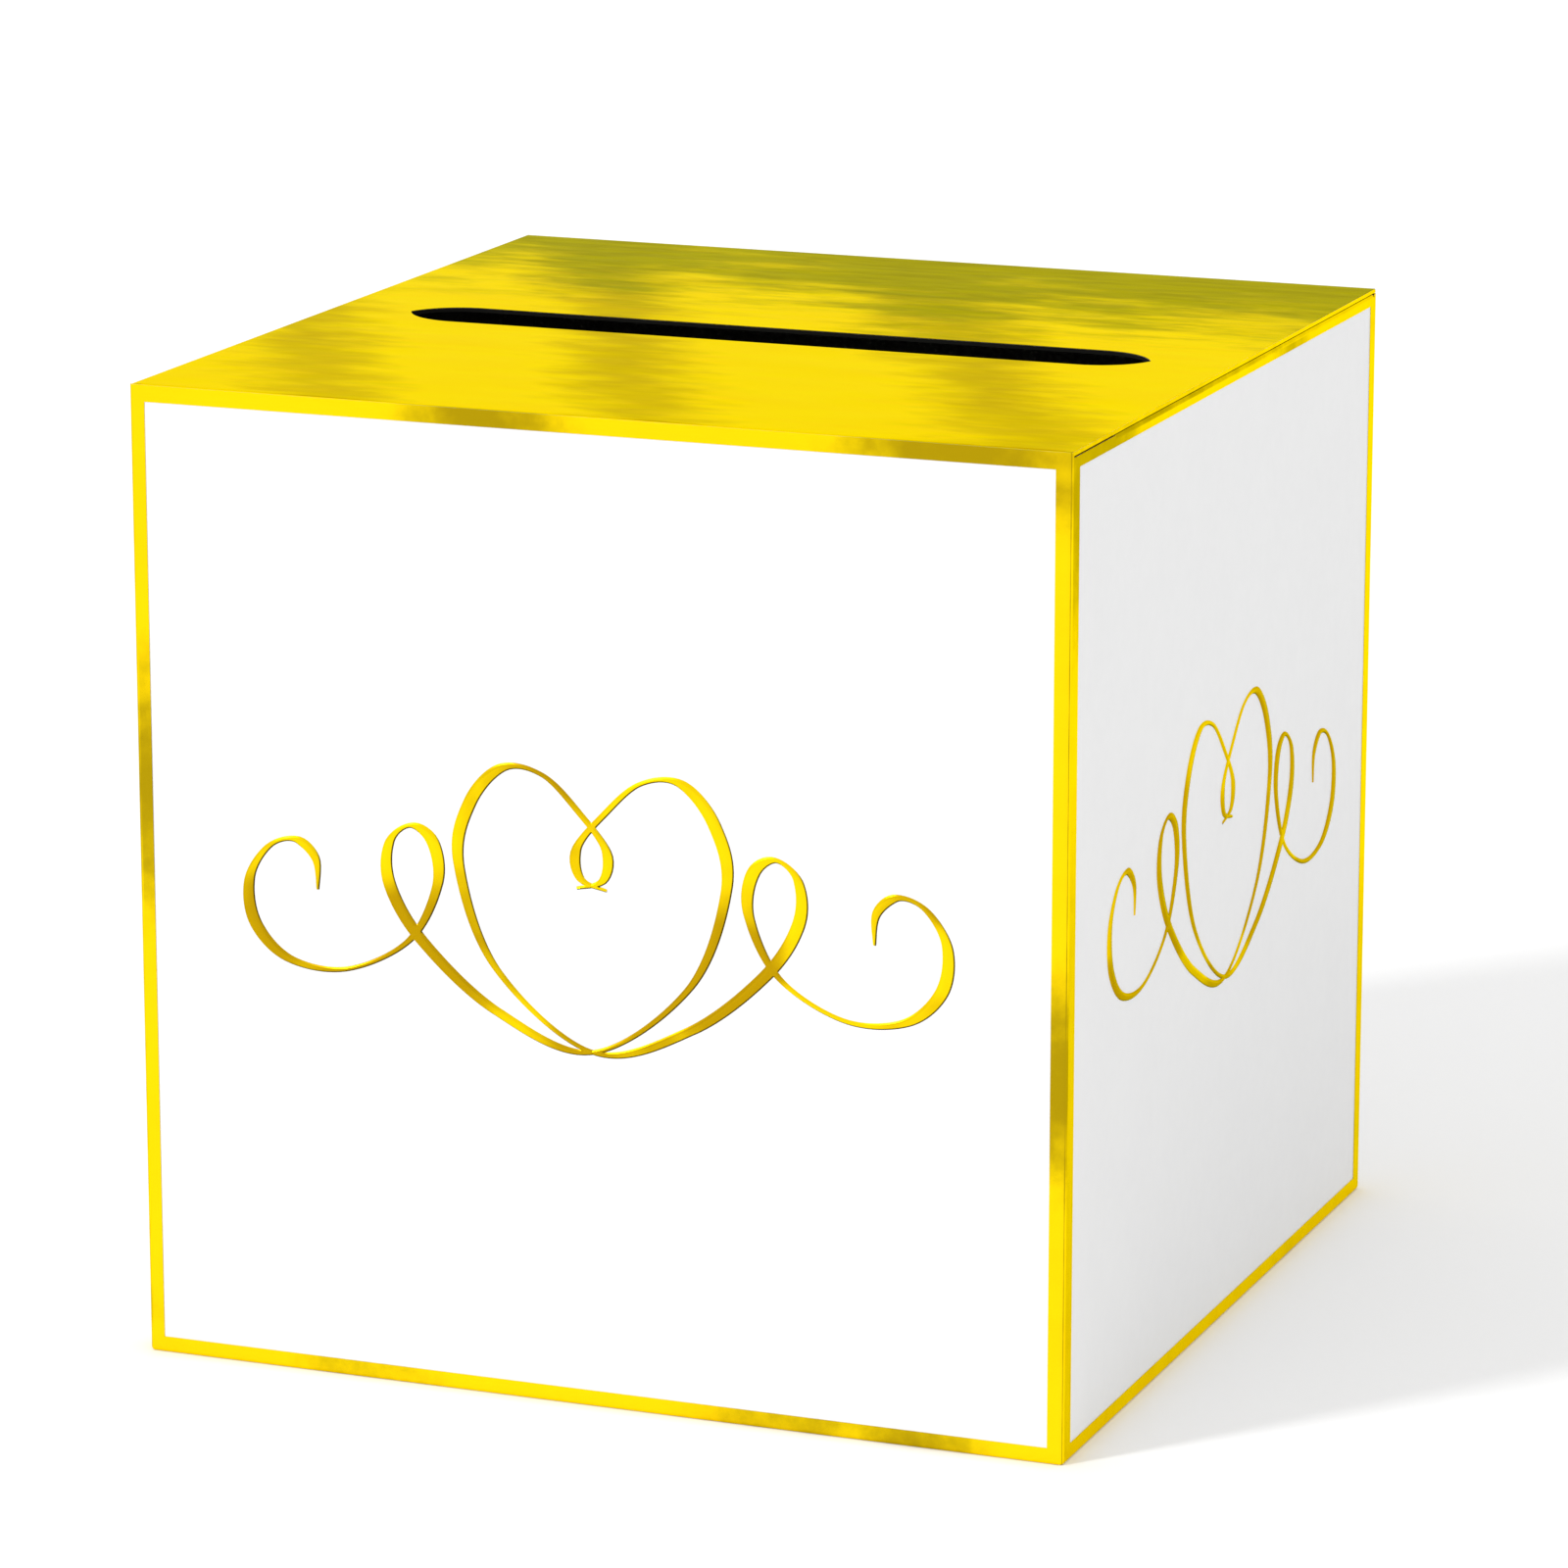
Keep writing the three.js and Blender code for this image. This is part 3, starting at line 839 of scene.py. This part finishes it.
def build_tuck():
    """The tuck flap with the crease at the lid's front edge, and the foil over the crease."""
    fold = front_fold()
    straight = (fold.centre.z - TUCK_FOOT) / math.cos(math.radians(TUCK_LEAN))
    shape = tuck_blank(fold, fold.arc + straight, TUCK_CORNER)
    board = folded("tuck_board", fold, shape, BOARD, BOARD_FACES)
    bend_between(board, "tuck", fold)
    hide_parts("tuck_flap")

    over = front_fold(SKIN)
    strip = tuck_blank(over, over.arc + FOIL_BLEED, 0.0)
    foil = folded("tuck_fold_foil", over, strip, FOIL, [lid_foil] * 3)
    bend_between(foil, "tuck", fold)


build_lid()
build_tuck()


# ------------------------------------------------------------------ dust flaps

def dust_outline(fold, hand):
    """A dust flap's blank. hand is 1 on the right, where +across runs to the back of the box."""
    reach, corner = fold.reach(DUST_REACH), DUST_CORNER
    front, back, notch, half = -DUST_FRONT, -DUST_BACK, -SLOT_Y, NOTCH_HALF
    tip = front - DUST_TAPER - corner
    outline = [(back, 0.0), (front, 0.0)]
    outline += arc(tip, reach - corner, corner, 0, 90, DUST_CORNER_STEPS)
    outline += arc(notch + half + corner, reach - corner, corner, 90, 180, DUST_CORNER_STEPS)
    outline += arc(notch, fold.reach(NOTCH_REACH + half), half, 0, -180, NOTCH_STEPS)
    outline += arc(notch - half - corner, reach - corner, corner, 0, 90, DUST_CORNER_STEPS)
    outline += [(back + DUST_REACH, reach), (back, fold.arc)]
    return outline if hand < 0 else [(-x, y) for x, y in reversed(outline)]


def dust_strip(fold, hand):
    """The foil that bleeds over the crease on to the dust flap."""
    foot = fold.arc + FOIL_BLEED
    low, high = sorted((hand * DUST_FRONT, hand * DUST_BACK))
    return [(low, 0.0), (high, 0.0), (high - FOIL_BLEED, foot), (low + FOIL_BLEED, foot)]


def build_dust_flap(side, hand):
    """hand is 1 on the right and -1 on the left."""
    body, start = f"{side.name}_dust", (hand * WALL_X, 0, SIDE_TOP - FOLD)
    fold = Fold(start, (0, 0, 1), side.outward)
    shape = blank(dust_outline(fold, hand), creases=fold.creases())
    board = folded(f"{body}_board", fold, shape, BOARD, BOARD_FACES)
    bend_between(board, body, fold)
    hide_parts(f"{body}_flap")

    over = Fold(start, (0, 0, 1), side.outward, lift=SKIN)
    strip = blank(dust_strip(over, hand), creases=over.creases())

    # The foil over the crease takes the painted shade and dark reflection of the side's top strip.
    def painted_dark_and_tone(point):
        return border_painted_dark(side, side.along.y * point.y, TOP)

    foil = folded(f"{body}_fold_foil", over, strip, FOIL, [trim_foil] * 3, None, painted_dark_and_tone)
    bend_between(foil, body, fold)


build_dust_flap(RIGHT, 1)
build_dust_flap(LEFT, -1)


# ------------------------------------------------------------------ flourishes

# One half of the flourish in millimetres, about its own middle: an outer curl, a loop, a heart side.
FLOURISH = [
    (-75, -2), (-75.5, 6), (-81, 10.5), (-88.5, 8), (-94, -1), (-92.5, -12.5), (-83, -21), (-67, -22),
    (-50, -13), (-42, 2), (-43, 13), (-49, 17), (-55, 12), (-55, 1), (-46, -13), (-26, -29),
    (0, -37), (26, -18), (36, 8), (33, 24), (24, 34), (13, 33), (3, 24), (-4, 15), (-3, 7.5), (4, 5),
]
STROKE_THIN = 1.2
STROKE_SWELL = 2.3
PEN_ANGLE = math.radians(20)
STROKE_END = 0.8
STROKE_TAPER = 14.0
STROKE_STEP = 1.1
STROKE_ROW = 5
STROKE_WELD = 1e-5
SHOULDER_SHARE = 0.35
CROWN_SHARE = 0.25

# The bevels that face this way, to the lower right, get the darkest painted shade.
SHADED_WAY = np.array((0.72, -0.69))
SHADE_LEAST = 0.2


def curve_point(points, span, t):
    """A point and its direction on the smooth curve through the points, in one of its spans."""
    p0, p1 = points[max(span - 1, 0)], points[span]
    p2, p3 = points[span + 1], points[min(span + 2, len(points) - 1)]
    v1, v2 = (p2 - p0) / 2, (p3 - p1) / 2
    bend = p1 * 2 - p2 * 2 + v1 + v2
    ease = p2 * 3 - p1 * 3 - v1 * 2 - v2
    return ((bend * t + ease) * t + v1) * t + p1, (bend * (3 * t) + ease * 2) * t + v1


def stroke_line(mirror):
    """The pen's way: (place, direction, half width) at even steps, in millimetres."""
    points = [Vector((mirror * x, y)) for x, y in FLOURISH]
    line = []
    for span in range(len(points) - 1):
        steps = math.ceil((points[span + 1] - points[span]).length / STROKE_STEP)
        line += [curve_point(points, span, i / steps) for i in range(steps)]
    line.append(curve_point(points, len(points) - 2, 1.0))
    places = [place for place, _ in line]
    lengths = np.cumsum([0.0] + [(b - a).length for a, b in zip(places, places[1:])])
    result = []
    for (place, along), length in zip(line, lengths):
        heading = math.atan2(along.y, mirror * along.x) - PEN_ANGLE
        full = STROKE_THIN + STROKE_SWELL * math.sin(heading) ** 2
        ending = min(1.0, length / STROKE_TAPER, (lengths[-1] - length) / STROKE_TAPER)
        result.append((place, along.normalized(), (STROKE_END + (full - STROKE_END) * ending) / 2))
    return result


def stroke_net(lines):
    """Triangles of the joined strokes, with lines of points along their shoulders and middles."""
    points, edges, quads = [], [], []
    for line in lines:
        first = len(points)
        for place, along, half in line:
            out = Vector((-along.y, along.x))
            shoulder = max(half - FLOURISH_BEVEL / MM, SHOULDER_SHARE * half)
            points += [place + out * reach for reach in (half, shoulder, 0.0, -shoulder, -half)]
        for i in range(len(line) - 1):
            a, b = first + STROKE_ROW * i, first + STROKE_ROW * (i + 1)
            edges += [(a + 1, b + 1), (a + 2, b + 2), (a + 3, b + 3)]
            quads.append([a + 4, b + 4, b, a])
    made = delaunay_2d_cdt(points, edges, quads, 1, STROKE_WELD)
    return made[0], [list(face) for face, source in zip(made[2], made[5]) if source]


def inside_depth(places, lines):
    """For each place: how far it lies inside the nearest stroke's edge, and the way out of it."""
    depth = np.full(len(places), -1e9)
    way = np.zeros((len(places), 2))
    at = np.array([tuple(p) for p in places])
    for line in lines:
        for (a, _, wide_a), (b, _, wide_b) in zip(line, line[1:]):
            start, step = np.array(a), np.array(b - a)
            share = np.clip((at - start) @ step / (step @ step), 0, 1)
            off = at - start - share[:, None] * step
            distance = np.hypot(off[:, 0], off[:, 1])
            inside = wide_a + (wide_b - wide_a) * share - distance
            closer = inside > depth
            depth[closer] = inside[closer]
            way[closer] = off[closer] / np.maximum(distance[closer], 1e-6)[:, None]
    return depth, way


def flourish_relief():
    """Places, faces, heights and painted bevel shade of the raised flourish, flat, in metres."""
    lines = [stroke_line(1), stroke_line(-1)]
    places, faces = stroke_net(lines)
    depth, way = inside_depth(places, lines)
    share = np.clip(depth / (FLOURISH_BEVEL / MM), 0, 1)
    crown = np.clip(depth / (STROKE_THIN + STROKE_SWELL), 0, 0.5)
    heights = FLOURISH_LIP + FLOURISH_RISE * (np.sin(share * math.pi / 2) + CROWN_SHARE * crown)
    # Painted shade on the bevels, darkest on those facing the lower right.
    shaded = np.clip(SHADE_LEAST + way @ SHADED_WAY, 0, 1) * (1 - share)
    return [p * MM for p in places], faces, heights, list(shaded)


def build_flourish(side, relief):
    places, faces, heights, painted_darks = relief
    outer = [side.place(p.x, FLOURISH_Z + p.y, h) for p, h in zip(places, heights)]
    inner = [side.place(p.x, FLOURISH_Z + p.y, 0.0) for p in places]
    piece = closed(f"{side.name}_flourish", outer, inner, faces, [flourish_foil] * 3, None, painted_darks)
    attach(piece, "carton")
    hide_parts(f"{side.name}_foil_flourish")


relief = flourish_relief()
for wall_side in SIDES:
    build_flourish(wall_side, relief)


# ------------------------------------------------------------------ frame nodes that stay

def finish_node(name, material):
    """Gives a carried-over node its material."""
    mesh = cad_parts[name].data
    mesh.materials.clear()
    mesh.materials.append(material)


floor_board = two_sided_board("bottom_flap_board", "Z", -1.0)
for flap in ("bottom_main_flap", "bottom_right_flap", "bottom_left_flap", "bottom_lock_flap"):
    finish_node(flap, floor_board)
finish_node("seam_flap", two_sided_board("seam_flap_board", "X", -1.0))
finish_node("seam_glue", glue_material())

# ------------------------------------------------------------------ floor, light and camera

FLOOR = 0.92
FLOOR_MOTTLE = 0.01
FLOOR_ROUGH = 0.75
FLOOR_GLOSS = 0.1
FLOOR_HALF = 12.0
SKY = 0.97
SUN = 1.6
SUN_FROM = Vector((-0.563, -0.658, 0.5))
SUN_SPREAD = 8.0

CAMERA_AT = Vector((0.6543, -1.6684, 0.5698))
CAMERA_TO = Vector((0.002, 0.0, 0.1336))
CAMERA_LENS = 160.06
CAMERA_FILM = 36.0


def build_floor():
    corners = [(x * FLOOR_HALF, y * FLOOR_HALF, 0.0) for x, y in ((-1, -1), (1, -1), (1, 1), (-1, 1))]
    mesh = bpy.data.meshes.new("floor")
    mesh.from_pydata(corners, [], [[0, 1, 2, 3]])
    floor = bpy.data.objects.new("floor", mesh)
    bpy.context.scene.collection.objects.link(floor)
    s = Shader("pale_floor")
    grain = s.noise(s.place(), 400.0, 2.0)
    color = s.mix(grain, (FLOOR,) * 3, (FLOOR - FLOOR_MOTTLE,) * 3)
    relief = s.bump(grain, 0.01 * MM)
    mesh.materials.append(s.finish(color, FLOOR_ROUGH, relief, Specular_IOR_Level=FLOOR_GLOSS))


def build_sky():
    """An even pale room for what it lights and for reflections, and plain white behind the object."""
    world = bpy.data.worlds.new("studio")
    world.use_nodes = True
    tree = world.node_tree
    tree.nodes.clear()
    room = tree.nodes.new("ShaderNodeBackground")
    room.inputs["Color"].default_value = (SKY, SKY, SKY, 1.0)
    backdrop = tree.nodes.new("ShaderNodeBackground")
    backdrop.inputs["Color"].default_value = (1.0, 1.0, 1.0, 1.0)
    path = tree.nodes.new("ShaderNodeLightPath")
    mix = tree.nodes.new("ShaderNodeMixShader")
    out = tree.nodes.new("ShaderNodeOutputWorld")
    tree.links.new(path.outputs["Is Camera Ray"], mix.inputs[0])
    tree.links.new(room.outputs[0], mix.inputs[1])
    tree.links.new(backdrop.outputs[0], mix.inputs[2])
    tree.links.new(mix.outputs[0], out.inputs["Surface"])
    bpy.context.scene.world = world


def build_sun():
    light = bpy.data.lights.new("key", "SUN")
    light.energy = SUN
    light.angle = math.radians(SUN_SPREAD)
    sun = bpy.data.objects.new("key", light)
    sun.rotation_euler = SUN_FROM.to_track_quat("Z", "Y").to_euler()
    bpy.context.scene.collection.objects.link(sun)


def build_camera():
    lens = bpy.data.cameras.new("camera")
    lens.lens = CAMERA_LENS
    lens.sensor_width = CAMERA_FILM
    camera = bpy.data.objects.new("camera", lens)
    camera.location = CAMERA_AT
    camera.rotation_euler = (CAMERA_AT - CAMERA_TO).to_track_quat("Z", "Y").to_euler()
    bpy.context.scene.collection.objects.link(camera)
    bpy.context.scene.camera = camera


build_floor()
build_sky()
build_sun()
build_camera()
bpy.context.scene.view_settings.view_transform = "Standard"
